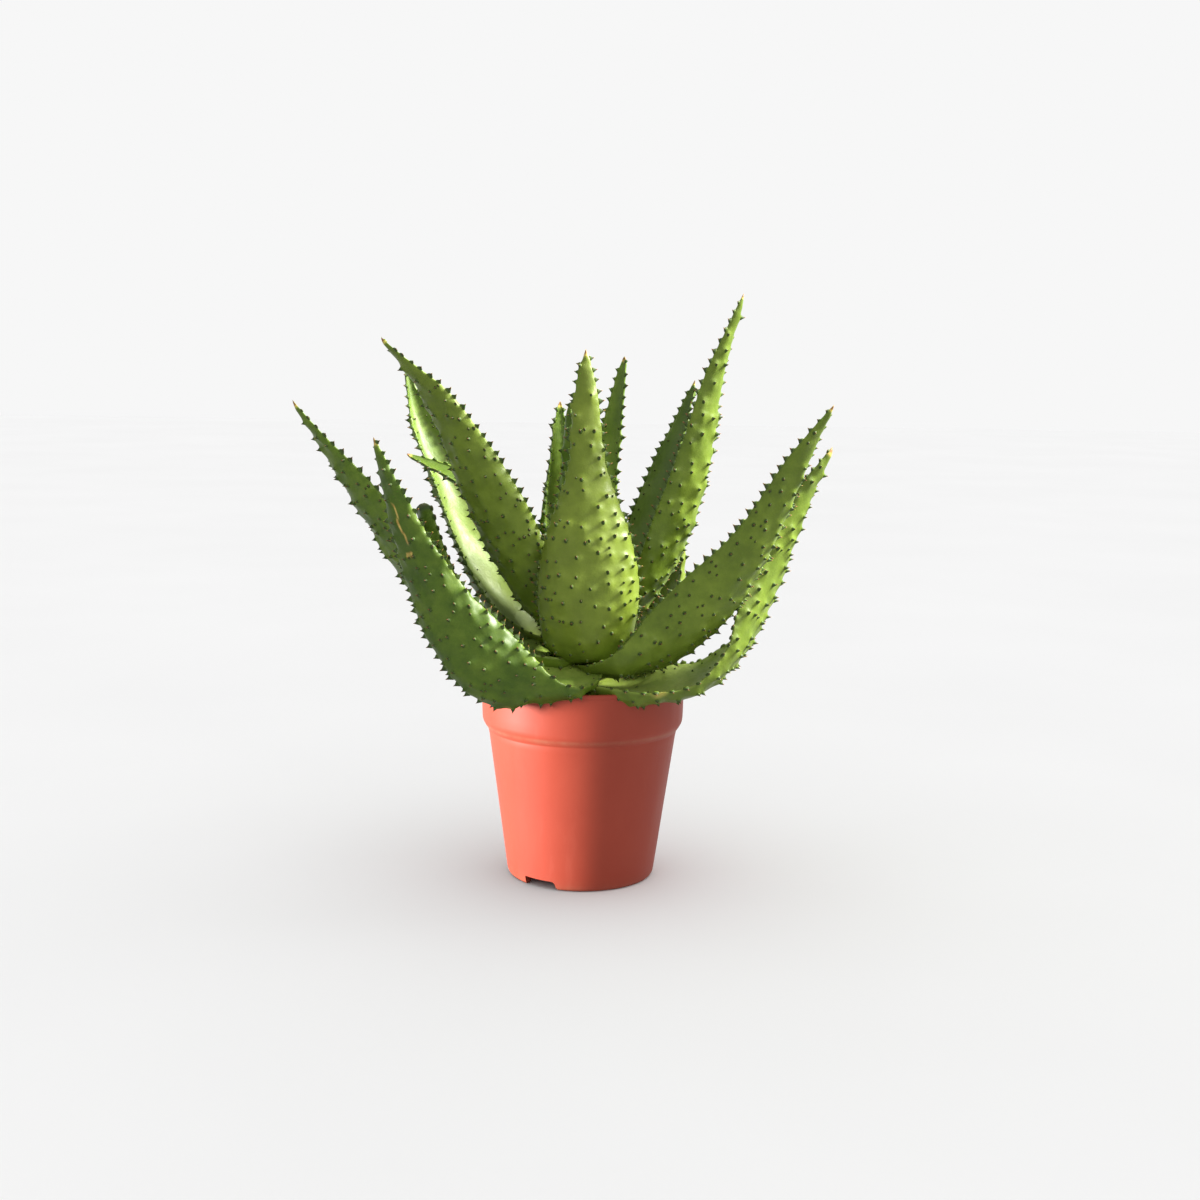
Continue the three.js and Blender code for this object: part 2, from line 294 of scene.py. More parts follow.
def stem_material():
    p = Paint("aloe_stem")
    tone = p.attribute("tone")
    cloud = p.noise(180, 5, 0.65)
    fine = p.noise(1200, 3, 0.6, p.place((1, 1, 3)))
    base = p.ramp(tone, [
        (0.0, (0.060, 0.045, 0.020)),
        (0.4, (0.110, 0.105, 0.035)),
        (1.0, (0.150, 0.200, 0.050)),
    ])
    base = p.mix(p.span(cloud, 0.45, 0.7, 0.0, 0.5), base, (0.045, 0.050, 0.016))
    p.colour(base)
    p.rough(p.span(fine, 0.3, 0.7, 0.62, 0.82))
    p.bump([(cloud, 0.5, 0.0008), (fine, 0.4, 0.0003)])
    return p.material


def floor_material():
    p = Paint("pale_floor")
    p.colour(p.ramp(p.noise(3, 2), [
        (0.3, (0.88, 0.88, 0.88)),
        (0.7, (0.90, 0.90, 0.90)),
    ]))
    p.set(Roughness=0.9, Specular_IOR_Level=0.1)
    return p.material


# ---------------------------------------------------------------- meshes


class Build:
    """Points, faces and per-point values gathered into one mesh. Points are in mm about the pot's axis."""

    def __init__(self, *values):
        self.points = []
        self.faces = []
        self.values = {name: [] for name in values}
        self.count = 0

    def add(self, points, faces, **values):
        points = np.asarray(points, float).reshape(-1, 3)
        self.points.append(points)
        self.faces.extend([tuple(int(i) + self.count for i in face) for face in faces])
        for name, store in self.values.items():
            value = values.get(name, 0.0)
            store.append(np.broadcast_to(np.asarray(value, float), (len(points),)))
        self.count += len(points)

    def object(self, name, material):
        mesh = bpy.data.meshes.new(name)
        points = np.concatenate(self.points) * MM + AXIS
        mesh.from_pydata([tuple(p) for p in points], [], self.faces)
        for key, store in self.values.items():
            made = mesh.attributes.new(key, "FLOAT", "POINT")
            made.data.foreach_set("value", np.concatenate(store).astype(np.float32))
        mesh.materials.append(material)
        mesh.validate()
        mesh.shade_smooth()
        made = bpy.data.objects.new(name, mesh)
        scene.collection.objects.link(made)
        return made


def ring_faces(rings, around, flip=False):
    """Quads between rings of points that follow each other in one list. flip turns them over."""
    faces = []
    for i in range(rings - 1):
        for k in range(around):
            a = i * around + k
            b = i * around + (k + 1) % around
            faces.append((a, a + around, b + around, b) if flip else (a, b, b + around, a + around))
    return faces


def fan_faces(rings, around, start, end, flip=False):
    """Triangles that close the first ring on the point numbered start and the last ring on number end."""
    faces = []
    top = (rings - 1) * around
    for k in range(around):
        m = (k + 1) % around
        faces.append((k, m, start) if flip else (m, k, start))
        faces.append((top + m, top + k, end) if flip else (top + k, top + m, end))
    return faces


def prism_faces(n):
    """A closed shape between two outlines of n points each."""
    return ring_faces(2, n) + [tuple(range(n))[::-1], tuple(range(n, 2 * n))]


def circle(r, z, around):
    turns = [2 * math.pi * k / around for k in range(around)]
    return [(r * math.cos(a), r * math.sin(a), z) for a in turns]


def face_outwards(mesh):
    bm = bmesh.new()
    bm.from_mesh(mesh)
    bmesh.ops.recalc_face_normals(bm, faces=bm.faces)
    bm.to_mesh(mesh)
    bm.free()


def smooth_by_angle(mesh, limit):
    """Smooth faces, with a sharp edge wherever two of them meet at more than the limit."""
    bm = bmesh.new()
    bm.from_mesh(mesh)
    for face in bm.faces:
        face.smooth = True
    for edge in bm.edges:
        edge.smooth = len(edge.link_faces) == 2 and edge.calc_face_angle(math.pi) < limit
    bm.to_mesh(mesh)
    bm.free()


def settle(piece, node):
    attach(piece, "root")
    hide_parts(node)
    return piece


def smoothstep(x, low, high):
    """0 at low and 1 at high, eased between them; low may be the greater of the two."""
    s = np.clip((np.asarray(x, float) - low) / (high - low), 0, 1)
    return s * s * (3 - 2 * s)


def unit(v):
    return v / np.maximum(np.linalg.norm(v, axis=-1, keepdims=True), 1e-9)


# ---------------------------------------------------------------- leaves

# Each leaf: path is [out from the axis, turn about it in degrees, height, roll in degrees], from stem to tip.
# wide is half the greatest width, at belly (a share of the length); a taper under 1 makes a blunter tip.
# neck is the width at the stem over the greatest width; cup and fat are channel depth and thickness
# over the half width. waist is how far the blade is drawn in past its belly. The skin's cast, from -1 to 1,
# is painted light and shade: below 0 it paints shade in deep green on leaves that lie in shadow, and above 0
# it paints light, light and yellowish, on leaves that the key lamp lights. pale is how pale the upper face
# is, 1 where it isn't given; below 1 it paints shade on an upper face that lies in shadow. cut marks the
# leaf whose tip was cut off and has healed.
LEAVES = {
    "leaf_front": {
        "path": [(11, 272, 146, 0), (26, 273, 149, 0), (34, 274, 166, 0), (35, 273, 196, 0),
                 (31, 272, 232, 0), (27, 269, 270, 0), (23, 267, 312, 0)],
        "wide": 28.5, "neck": 0.78, "belly": 0.24, "taper": 0.85, "cup": 0.2, "fat": 0.34, "waist": 0.35,
        "painted_light_and_shade": 0.6,
    },
    "leaf_front_left": {
        "path": [(8, 262, 137, 0), (28, 261, 134, -2), (44, 258, 129, -4), (59, 250, 125.5, 8),
                 (71, 242, 127, 33), (82, 234.5, 134.8, 46), (90, 228, 147.5, 47), (98, 221, 164, 42),
                 (108, 215, 191, 35), (121, 212, 225, 30), (133, 209, 263, 15)],
        "wide": 20, "neck": 0.85, "belly": 0.4, "taper": 0.78, "cup": 0.2, "fat": 0.28, "painted_light_and_shade": -0.35,
    },
    "leaf_low_left": {
        "path": [(11, 200, 113, 0), (34, 198, 115, 0), (55, 195, 129.5, 0), (73, 193, 149.5, 15),
                 (92, 191, 178, 30), (114, 189, 209, 40), (139, 188, 242, 36), (169, 188, 281, 5)],
        "wide": 17.7, "neck": 0.47, "belly": 0.46, "taper": 0.7, "cup": 0.2, "fat": 0.32, "pale": 0.6,
    },
    "leaf_cut_left": {
        "path": [(8, 228, 136, -8), (28, 222, 139, -12), (50, 206, 144, -4), (70, 194, 163, 5),
                 (84, 187.5, 194, 10), (92.5, 184.5, 222, 10), (96.5, 183.5, 238, 10)],
        "wide": 16.5, "neck": 1, "belly": 0.4, "taper": 0.3, "cup": 0.25, "fat": 0.42, "cut": True,
        "painted_light_and_shade": -0.3,
    },
    "leaf_upper_left": {
        "path": [(11, 203, 154, 0), (23, 204, 162, 18), (40, 203, 194, 32), (56.5, 202, 226, 38),
                 (72, 201, 255, 37), (91, 200, 286, 28), (122, 200, 317, -10)],
        "wide": 19.5, "neck": 0.6, "belly": 0.32, "taper": 0.64, "cup": 0.22, "fat": 0.34, "painted_light_and_shade": 0.45,
    },
    "leaf_back_left": {
        "path": [(11, 155, 142, 0), (26, 158, 149, -12), (44, 160, 168, -30), (63, 160, 201, -38),
                 (83.5, 160, 234, -38), (105, 160, 267, -34), (117, 160, 299, -15)],
        "wide": 21.5, "neck": 0.6, "belly": 0.35, "taper": 0.8, "cup": 0.55, "fat": 0.34, "pale": 0.72,
    },
    "leaf_narrow_left": {
        "path": [(11, 180, 163, 0), (30, 180, 190, -10), (50, 180, 219, -25), (75, 180, 238, -30),
                 (105, 180, 250, -20)],
        "wide": 10.5, "neck": 0.6, "belly": 0.4, "taper": 0.55, "cup": 0.3, "fat": 0.4, "pale": 0.15,
        "painted_light_and_shade": -0.5,
    },
    "leaf_tall_right": {
        "path": [(11, 333, 153, 0), (27, 336, 161, -15), (43, 337, 186, -32), (55.5, 338, 218, -40),
                 (66.5, 339, 256, -40), (75.5, 341, 298, -33), (91, 342, 344, -10)],
        "wide": 13.2, "neck": 0.6, "belly": 0.32, "taper": 0.66, "cup": 0.22, "fat": 0.34, "painted_light_and_shade": 0.35,
    },
    "leaf_shade_right": {
        "path": [(11, 46, 156, 0), (26, 44, 169, 0), (43, 42, 197, 0), (54, 42, 221, 0),
                 (64, 42, 245, 0), (77, 42, 269, 0), (89, 42, 294, 0)],
        "wide": 15, "neck": 0.6, "belly": 0.3, "taper": 0.75, "cup": 0.3, "fat": 0.32, "painted_light_and_shade": -0.8,
    },
    "leaf_front_right": {
        "path": [(8, 303, 132, 8), (32, 300, 137, 14), (49, 306, 141, 0), (65, 316, 152.5, -28),
                 (89, 322, 179, -35), (111, 325, 207, -35), (140.5, 325, 258, -25),
                 (159, 325, 285, -10)],
        "wide": 20, "neck": 0.85, "belly": 0.34, "taper": 0.76, "cup": 0.2, "fat": 0.36, "waist": 0.1,
        "painted_light_and_shade": 0.35,
    },
    "leaf_low_right": {
        "path": [(8, 290, 123, 0), (30, 296, 124, 2), (48, 306, 125.5, 8), (62, 316, 127, 18),
                 (75, 327, 131.5, 24), (87, 336, 144, 14), (98, 342, 165, -8), (113, 347, 203, -30),
                 (126, 349, 231, -35), (142, 350, 259, -20)],
        "wide": 21, "neck": 1, "belly": 0.4, "taper": 0.68, "cup": 0.28, "fat": 0.3, "painted_light_and_shade": 0.35,
    },
    "leaf_inner_right": {
        "path": [(11, 25, 138, 0), (24, 25, 142, 0), (43, 23, 152, 0), (54, 21, 170, 0),
                 (58, 19, 196, 0), (62, 17, 226, 0)],
        "wide": 16, "neck": 0.7, "belly": 0.35, "taper": 0.8, "cup": 0.25, "fat": 0.32, "painted_light_and_shade": 0.6,
    },
    "leaf_rear_left": {
        "path": [(11, 125, 126, 0), (26, 128, 130, 0), (44, 130, 145, 0), (62, 130, 170, 0),
                 (80, 131, 201, 0), (104, 131, 240, 0)],
        "wide": 16, "neck": 0.6, "belly": 0.35, "taper": 0.8, "cup": 0.22, "fat": 0.32, "painted_light_and_shade": -0.2,
    },
    "leaf_back": {
        "path": [(11, 95, 134, 0), (26, 93, 140, 0), (45, 92, 158, 0), (62, 91, 184, 0),
                 (78, 91, 216, 0), (92, 91, 250, 0), (98, 91, 262, 0)],
        "wide": 17, "neck": 0.6, "belly": 0.35, "taper": 1, "cup": 0.22, "fat": 0.32,
    },
    "leaf_low_back": {
        "path": [(11, 66, 114, 0), (34, 70, 116, 0), (56, 74, 131, 0), (80, 74, 147, 0),
                 (104, 77, 170, 0), (126, 80, 200, 0)],
        "wide": 18, "neck": 0.5, "belly": 0.35, "taper": 1, "cup": 0.2, "fat": 0.32,
    },
    "leaf_low_back_left": {
        "path": [(11, 131, 113, 0), (34, 140, 115, 0), (56, 155, 129, 0), (76, 163, 136, 0),
                 (93, 167, 148, 0), (104, 170, 164, 0)],
        "wide": 13, "neck": 0.5, "belly": 0.35, "taper": 0.85, "cup": 0.2, "fat": 0.3,
    },
    "leaf_young_left": {
        "path": [(8, 130, 168, 0), (18, 137, 190, 0), (23, 138, 216, 0), (24.5, 131, 250, 0),
                 (28, 125, 281, 0)],
        "wide": 11, "neck": 0.6, "belly": 0.3, "taper": 0.62, "cup": 0.3, "fat": 0.35, "pale": 0.3,
    },
    "leaf_young_mid": {
        "path": [(6, 215, 178, 0), (9, 215, 200, 0), (12, 218, 226, 0), (13, 220, 252, 0),
                 (13, 222, 281, 0)],
        "wide": 7, "neck": 0.5, "belly": 0.35, "taper": 0.5, "cup": 0.3, "fat": 0.35,
    },
    "leaf_young_right": {
        "path": [(8, 55, 170, 0), (14, 62, 196, 0), (18, 60, 230, 0), (23, 50, 268, 0),
                 (29.5, 43, 308, 0)],
        "wide": 10, "neck": 0.5, "belly": 0.35, "taper": 0.55, "cup": 0.3, "fat": 0.35,
    },
}

CURVE_STEPS = 60  # points of the middle line from one knot to the next
RING_GAP = 1.15  # mm between rings, about
HALF_TURN = 34  # points round the underside of a ring; the upper face has as many


def midrib(path):
    """The leaf's middle line as a centripetal curve: points, their knot numbers and the length so far."""
    knots = []
    for out, turn, height, _ in path:
        a = math.radians(turn)
        knots.append([out * math.cos(a), out * math.sin(a), height])
    knots = np.array(knots)
    knots = np.vstack([2 * knots[0] - knots[1], knots, 2 * knots[-1] - knots[-2]])
    points = []
    numbers = []
    for k in range(1, len(knots) - 2):
        p0, p1, p2, p3 = knots[k - 1 : k + 3]
        d0, d1, d2 = (math.sqrt(np.linalg.norm(b - a)) for a, b in ((p0, p1), (p1, p2), (p2, p3)))
        m1 = ((p1 - p0) / d0 - (p2 - p0) / (d0 + d1) + (p2 - p1) / d1) * d1
        m2 = ((p2 - p1) / d1 - (p3 - p1) / (d1 + d2) + (p3 - p2) / d2) * d1
        for s in np.linspace(0, 1, CURVE_STEPS, endpoint=k == len(knots) - 3):
            points.append(
                (2 * s**3 - 3 * s**2 + 1) * p1 + (s**3 - 2 * s**2 + s) * m1
                + (3 * s**2 - 2 * s**3) * p2 + (s**3 - s**2) * m2
            )
            numbers.append(k - 1 + s)
    points = np.array(points)
    along = np.concatenate([[0], np.cumsum(np.linalg.norm(np.diff(points, axis=0), axis=1))])
    return points, np.array(numbers), along


def width_at(leaf, t):
    """The half width over its greatest value, at the share t of the leaf's length."""
    s = t / leaf["belly"]
    root = leaf["neck"] + (1 - leaf["neck"]) * np.sin(np.clip(s, 0, 1) * math.pi / 2)
    s = np.clip((t - leaf["belly"]) / (1 - leaf["belly"]), 0, 1)
    drawn = 1 - leaf.get("waist", 0) * np.exp(-(((t - 0.67) / 0.16) ** 2))
    blade = drawn * (1 - s) ** leaf["taper"] * (1 + leaf["taper"] * s * (1 - s) ** 4)
    return np.where(t < leaf["belly"], root, blade)


class Leaf:
    """The smooth skin of one leaf: a grid of rings from root to tip, each going round the underside first."""

    def __init__(self, name):
        leaf = LEAVES[name]
        self.leaf = leaf
        points, numbers, length_so_far = midrib(leaf["path"])
        self.length = length_so_far[-1]
        # Where the rings stand, as shares of the length: a little closer together near both ends,
        # and ending just short of the tip, which is a point of its own.
        ease = np.linspace(0, 1, max(60, int(self.length / RING_GAP)))
        t = 0.994 * (ease - 0.06 * np.sin(2 * math.pi * ease) / (2 * math.pi))
        self.t = t
        here = t * self.length
        slopes = [np.gradient(points[:, k], length_so_far) for k in range(3)]
        at = np.stack([np.interp(here, length_so_far, points[:, k]) for k in range(3)], 1)
        tangent = unit(np.stack([np.interp(here, length_so_far, slope) for slope in slopes], 1))
        side = unit(np.stack([-at[:, 1], at[:, 0], np.zeros(len(t))], 1))
        side = unit(side - tangent * np.sum(side * tangent, 1, keepdims=True))
        inward = np.cross(tangent, side)
        knot = np.interp(here, length_so_far, numbers)
        rolls = [roll for _, _, _, roll in leaf["path"]]
        roll = np.radians(np.interp(knot, range(len(rolls)), rolls))[:, None]
        side, inward = (
            side * np.cos(roll) + inward * np.sin(roll),
            inward * np.cos(roll) - side * np.sin(roll),
        )
        self.at, self.along, self.side, self.inward = at, tangent, side, inward
        half = leaf["wide"] * width_at(leaf, t)
        self.half = half
        clasp = 1.0 + 0.35 * smoothstep(t, 0.34, 0.06)  # fuller where it clasps the stem
        thick = np.maximum(leaf["fat"] * half * clasp, np.minimum(1.6, half * 0.8))
        cup = leaf["cup"] * half
        edge = np.minimum(0.9, half * 0.25)  # what the upper face is narrower by at each margin
        turn = np.concatenate([
            np.linspace(0, math.pi, HALF_TURN + 1),
            np.linspace(math.pi, 2 * math.pi, HALF_TURN + 1)[1:-1],
        ])
        self.turn = turn
        below = np.arange(len(turn)) <= HALF_TURN
        self.below = below
        x = np.where(below[None], half[:, None], (half - edge)[:, None]) * np.cos(turn)[None]
        bulge = np.abs(np.sin(turn))[None]
        depth = np.where(below[None], (cup + thick)[:, None] * bulge**0.92, cup[:, None] * bulge)
        self.grid = at[:, None] + x[..., None] * side[:, None] - depth[..., None] * inward[:, None]
        around = np.roll(self.grid, -1, 1) - np.roll(self.grid, 1, 1)
        forward = np.gradient(self.grid, axis=0)
        self.normal = unit(np.cross(forward, around))
        out = self.grid - self.grid.mean(1, keepdims=True)
        if np.sum(out * self.normal) < 0:
            self.normal = -self.normal

    def ring_at(self, s):
        """The number of the ring that stands s mm along the leaf, but never the first or the last one."""
        return int(np.clip(np.searchsorted(self.t * self.length, s), 1, len(self.t) - 2))

    def off_margin(self, i, j):
        """The way out of the blade at ring i, past the margin in column j."""
        return self.side[i] * (1 if j == 0 else -1)


# A spot is where a thorn stands: (ring, column, kind, height of the swelling under it, its own height).
TUBERCLE, FACE_THORN, TOOTH = range(3)
# How far a swelling reaches behind its spot, ahead of it and sideways, in mm.
SWELLING = {TUBERCLE: (4.4, 2.0, 2.5), FACE_THORN: (2.6, 1.5, 1.5), TOOTH: (2.8, 1.7, 2.2)}
# A thorn's foot, half its length and half its width, and its lean towards the leaf's tip, over its height.
THORN_FORM = {TUBERCLE: (0.56, 0.46, 0.40), FACE_THORN: (0.56, 0.46, 0.40), TOOTH: (0.58, 0.32, 0.30)}
# The rings of a thorn: (height over its own, size over its foot's, darkness).
THORN_RINGS = [
    (-0.28, 1.0, 0.0),
    (0.02, 0.94, 0.10),
    (0.22, 0.70, 0.22),
    (0.46, 0.40, 0.42),
    (0.74, 0.18, 0.72),
]
THORN_SIDES = 8
FIRST_SPOT = {TUBERCLE: 7, FACE_THORN: 16, TOOTH: 9}  # mm from the root that stay bare
LAST_SPOT = {TUBERCLE: 9, FACE_THORN: 12, TOOTH: 3.5}  # mm from the tip that stay bare
UNDERSIDE_ROUND = 2.35  # the length round the underside over the half width
TUBERCLE_GAP = 7.4  # mm between tubercles of one row
LUMP_HEIGHT = 0.22  # mm, for each of the long waves in the skin


def tubercles(skin, rng):
    """Spots on the underside, in loose rows across the leaf, some with a smaller one beside them."""
    spots = []
    s = FIRST_SPOT[TUBERCLE] + rng.uniform(0, 4)
    row = 0
    while s < skin.length - LAST_SPOT[TUBERCLE]:
        half = skin.half[skin.ring_at(s)]
        count = max(1, int(round(half * UNDERSIDE_ROUND / TUBERCLE_GAP)))
        stagger = 0.25 if row % 2 else -0.25
        for k in range(count):
            c = (k + 0.5 + stagger) / count + rng.uniform(-0.26, 0.26) / count
            if c < 0.07 or c > 0.93 or rng.random() < 0.10:
                continue
            j = int(round(c * HALF_TURN))
            i = skin.ring_at(s + rng.uniform(-2.6, 2.6))
            spots.append((i, j, TUBERCLE, rng.uniform(0.8, 1.5), rng.uniform(1.8, 2.7)))
            if rng.random() < 0.22 and half > 8:
                j = min(HALF_TURN - 2, max(2, j + rng.choice([-3, 3])))
                i = skin.ring_at(skin.t[i] * skin.length + rng.uniform(-2, 2))
                spots.append((i, j, TUBERCLE, rng.uniform(0.4, 0.8), rng.uniform(1.5, 2.1)))
        s += rng.uniform(7.0, 9.4) if half > 9 else rng.uniform(8.5, 11)
        row += 1
    return spots


def face_thorns(skin, rng):
    """Spots of smaller thorns on the upper face, mostly near its edges."""
    spots = []
    s = FIRST_SPOT[FACE_THORN]
    while s < skin.length - LAST_SPOT[FACE_THORN]:
        i = skin.ring_at(s)
        if skin.half[i] > 6:
            shares = [rng.uniform(0.10, 0.24), rng.uniform(0.76, 0.90)]
            if rng.random() < 0.3:
                shares.append(rng.uniform(0.3, 0.7))
            for share in shares:
                j = HALF_TURN + int(round(share * HALF_TURN))
                j = min(len(skin.turn) - 3, max(HALF_TURN + 3, j))
                spots.append((i, j, FACE_THORN, rng.uniform(0.2, 0.4), rng.uniform(0.9, 1.5)))
        s += rng.uniform(6.5, 10)
    return spots


def teeth(skin, rng):
    """Spots along both margins, with smaller teeth near the root and where the blade is narrow."""
    spots = []
    for j in (0, HALF_TURN):
        s = FIRST_SPOT[TOOTH] + rng.uniform(0, 4)
        while s < skin.length - LAST_SPOT[TOOTH]:
            i = skin.ring_at(s)
            scale = 0.65 + 0.35 * min(1, skin.half[i] / 9)
            if s < 0.18 * skin.length:
                scale *= 0.6
            spots.append((i, j, TOOTH, rng.uniform(0.7, 1.2) * scale, rng.uniform(2.7, 3.8) * scale))
            s += rng.uniform(5.0, 7.4)
    return spots


def columns_to_margin(rows, cols):
    """How many columns each point of a grid is away from the nearer margin."""
    column = np.tile(np.arange(cols), rows)
    return np.minimum(np.minimum(column, np.abs(column - HALF_TURN)), cols - column)


def swollen(skin, spots, rng):
    """The leaf's grid, swollen under the thorns and gently uneven all over, both fading out near the tip."""
    rows, cols = skin.grid.shape[:2]
    flat = skin.grid.reshape(-1, 3)
    under = np.tile(np.arange(cols), rows) <= HALF_TURN
    moved = np.zeros_like(flat)
    for i, j, kind, high, _ in spots:
        gap = flat - skin.grid[i, j]
        forward = gap @ skin.along[i]
        sideways2 = np.maximum(np.sum(gap * gap, 1) - forward**2, 0)
        behind, ahead, wide = SWELLING[kind]
        reach = np.where(forward < 0, behind, ahead)
        share = np.exp(-((forward / reach) ** 2) - sideways2 / wide**2)
        if kind == TOOTH:
            way = skin.off_margin(i, j)
        else:
            share = share * (under if kind == TUBERCLE else ~under)
            way = skin.normal[i, j]
        moved += share[:, None] * high * way
    # Long waves all over, less on a narrow blade and none at the margins.
    lump = np.zeros(len(flat))
    for wave in range(5):
        way = unit(np.array([rng.gauss(0, 1) for _ in range(3)]))
        lump += np.sin(flat @ way * (0.10 + 0.06 * wave) + rng.uniform(0, 6)) * LUMP_HEIGHT
    inside = np.clip(columns_to_margin(rows, cols) / 4, 0, 1)
    broad = np.minimum(1, np.repeat(skin.half, cols) / 12)
    moved += skin.normal.reshape(-1, 3) * (lump * inside)[:, None] * broad[:, None]
    fade = np.repeat(np.clip((1 - skin.t) * skin.length / 5, 0, 1), cols)
    return (flat + moved * fade[:, None]).reshape(rows, cols, 3)


CUT_AT = 0.90  # share of the length where the cut leaf ends
CUT_ROUND = 4.5  # mm over which its end is rounded


def cut_off(skin, grid):
    """The part of the grid below the cut, with a rounded end."""
    last = int(np.searchsorted(skin.t, CUT_AT))
    grid = grid[:last]
    gap = (skin.t[last - 1] - skin.t[:last]) * skin.length
    blunt = np.sqrt(np.clip(1 - np.clip(1 - gap / CUT_ROUND, 0, 1) ** 2, 0.1, 1))[:, None, None]
    middle = grid.mean(1, keepdims=True)
    return middle + (grid - middle) * blunt


# Marks on single leaves: (turn round the ring in radians, share of the length, half its reach along it).
SCRATCH = (1.62, 0.79, 0.055)
BLEMISH = (1.70, 0.715)
WITHERED = (2.45, 0.27, 0.05)
DRIED = (math.pi, 0.25)
ELSEWHERE = 9  # a turn, or a number of columns, that no mark and no margin reaches


def leaf_values(name, skin, last, rng):
    """What the material reads at each point: the points of the first rings, up to last, then root and tip."""
    leaf = skin.leaf
    cols = len(skin.turn)
    t = np.concatenate([np.repeat(skin.t[:last], cols), [0, skin.t[last - 1]]])
    turn = np.concatenate([np.tile(skin.turn, last), [ELSEWHERE, ELSEWHERE]])
    from_tip = (skin.t[last - 1] - t) * skin.length
    dry = smoothstep(from_tip, rng.uniform(2.5, 5.5), 0)
    healed = np.zeros(len(t))
    if "cut" in leaf:
        dry = np.zeros(len(t))
        healed = 0.4 * smoothstep(from_tip, 6, 1)
    # The leaf's pale setting, below 1, paints shade on an upper face that lies in shadow.
    inner = np.concatenate([np.tile((~skin.below).astype(float), last), [0, 0]]) * leaf.get("pale", 1)
    inner = inner * (0.35 + 0.65 * smoothstep(t, 0.05, 0.32))
    # Painted shade: the upper face loses its paleness towards the tip.
    inner = inner * (1 - 0.85 * smoothstep(t, 0.42, 0.70))
    rim = np.clip(1 - np.concatenate([columns_to_margin(last, cols), [ELSEWHERE, 0]]) / 2.2, 0, 1)
    # Tone: paler near the root, which is the leaf's own colour, plus painted light above 0 and painted shade
    # below 0 for the whole leaf.
    painted_light_and_shade = leaf.get("painted_light_and_shade", 0)
    tone = np.maximum(0.7 * smoothstep(t, 0.35, 0.0) + min(painted_light_and_shade, 0), painted_light_and_shade)
    scar = np.zeros(len(t))
    if name == "leaf_low_right":
        # A dried, yellow bit of the near margin, where the leaf lies on the rim.
        reach = np.hypot((turn - DRIED[0]) * 12, (t - DRIED[1]) * skin.length)
        dry = np.maximum(dry, 0.32 * smoothstep(reach, 4.5, 1.5))
    if name == "leaf_front_left":
        # A healed scratch along the underside, a round blemish below it, and a withered line by the margin.
        wander = 0.05 * np.sin(t * 90)
        scratch = (
            smoothstep(np.abs(turn - SCRATCH[0] - wander), 0.07, 0.02)
            * smoothstep(np.abs(t - SCRATCH[1]), SCRATCH[2], SCRATCH[2] * 0.8)
        )
        reach = np.hypot((turn - BLEMISH[0]) * 9, (t - BLEMISH[1]) * skin.length)
        blemish = smoothstep(reach, 1.9, 1.3) * smoothstep(reach, 0.2, 1.2)
        withered = (
            smoothstep(np.abs(turn - WITHERED[0]), 0.12, 0.03) * 0.7
            * smoothstep(np.abs(t - WITHERED[1]), WITHERED[2], WITHERED[2] * 0.5)
        )
        scar = np.maximum(np.maximum(scratch, blemish), withered)
    return {"thorn": healed, "dry": dry, "inner": inner, "rim": rim, "scar": scar, "tone": tone}


def thorn_shape(base, normal, forward, height, kind):
    """Points, faces and darkness of one closed thorn: its foot is sunk in the skin, its tip leans forward."""
    foot_long, foot_wide, lean = THORN_FORM[kind]
    forward = unit(forward - normal * (forward @ normal))
    across = np.cross(normal, forward)
    points = []
    dark = []
    for up, share, darkness in THORN_RINGS:
        centre = base + normal * height * up + forward * lean * height * max(up, 0) ** 1.6
        for k in range(THORN_SIDES):
            a = 2 * math.pi * k / THORN_SIDES
            ahead = forward * (height * foot_long) * math.cos(a)
            points.append(centre + share * (ahead + across * (height * foot_wide) * math.sin(a)))
            dark.append(darkness)
    tip, root = len(points), len(points) + 1
    points += [base + normal * height + forward * lean * height, base - normal * height * 0.3]
    dark += [1.0, 0.0]
    rings = len(THORN_RINGS)
    faces = ring_faces(rings, THORN_SIDES) + fan_faces(rings, THORN_SIDES, root, tip)
    return points, faces, dark


def leaf_piece(name, material, seed):
    rng = random.Random(seed)
    skin = Leaf(name)
    spots = tubercles(skin, rng) + face_thorns(skin, rng) + teeth(skin, rng)
    grid = swollen(skin, spots, rng)
    tip = skin.at[-1] + skin.along[-1] * 0.006 * skin.length
    if "cut" in skin.leaf:
        grid = cut_off(skin, grid)
        tip = grid[-1].mean(0) - skin.along[len(grid) - 1] * 0.3
    last, cols = grid.shape[:2]
    points = [*grid.reshape(-1, 3), grid[0].mean(0), tip]
    faces = ring_faces(last, cols, flip=True)
    faces += fan_faces(last, cols, last * cols, last * cols + 1, flip=True)
    values = leaf_values(name, skin, last, rng)
    build = Build(*values)
    build.add(points, faces, **values)
    for i, j, kind, _, height in spots:
        if i >= last - 2:
            continue
        if kind == TOOTH:
            normal = unit(skin.off_margin(i, j) + skin.inward[i] * rng.uniform(-0.05, 0.25))
        else:
            normal = skin.normal[i, j]
        points, faces, dark = thorn_shape(grid[i, j], normal, skin.along[i], height, kind)
        build.add(points, faces, thorn=dark, tone=values["tone"][i * cols + j])
    piece = build.object(name + "_skin", material)
    return settle(piece, name)


LEAF_SEED = 100
leaf_paint = leaf_material()
for number, name in enumerate(LEAVES):
    leaf_piece(name, leaf_paint, LEAF_SEED + number)

# ---------------------------------------------------------------- pot

